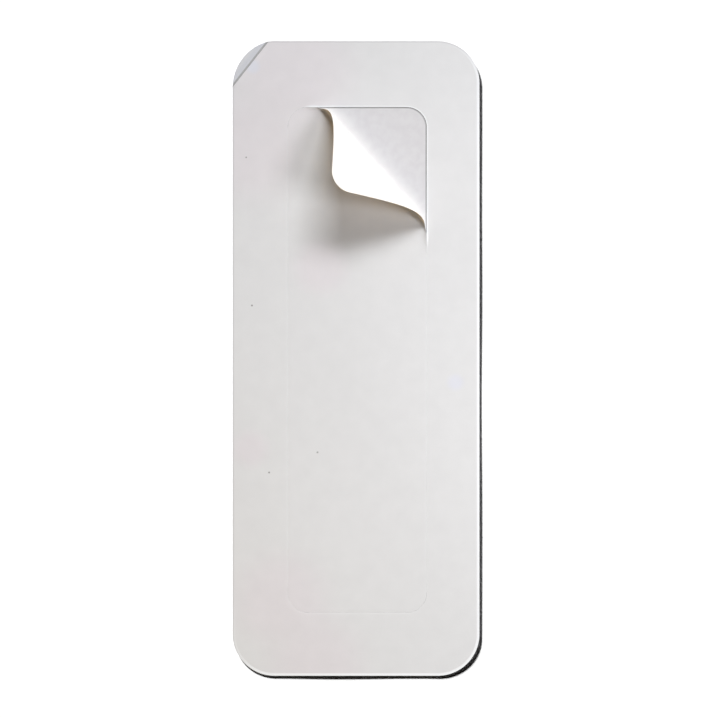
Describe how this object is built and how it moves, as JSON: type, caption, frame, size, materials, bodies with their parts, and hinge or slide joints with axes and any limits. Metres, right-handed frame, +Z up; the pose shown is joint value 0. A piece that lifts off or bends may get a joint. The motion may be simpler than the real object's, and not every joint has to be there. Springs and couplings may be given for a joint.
{
  "type": "transparent film dressing",
  "caption": "Long transparent film dressing on a release liner, with a paper carrier frame and a window paper whose corner is peeled back and curls over.",
  "frame": {"origin": "centre of the liner's flat underside", "axes": "+X across the strip, +Y along it toward the peeled end, +Z up out of the carrier paper"},
  "size_m": [0.098, 0.252, 0.0199],
  "materials": {
    "liner_paper": "satin",
    "polyurethane_film": "satin",
    "carrier_paper": "matte",
    "window_paper": "matte"
  },
  "bodies": {
    "root": {"release_liner": "liner_paper", "film": "polyurethane_film", "carrier_frame": "carrier_paper", "window_panel": "window_paper"}
  },
  "joints": []
}
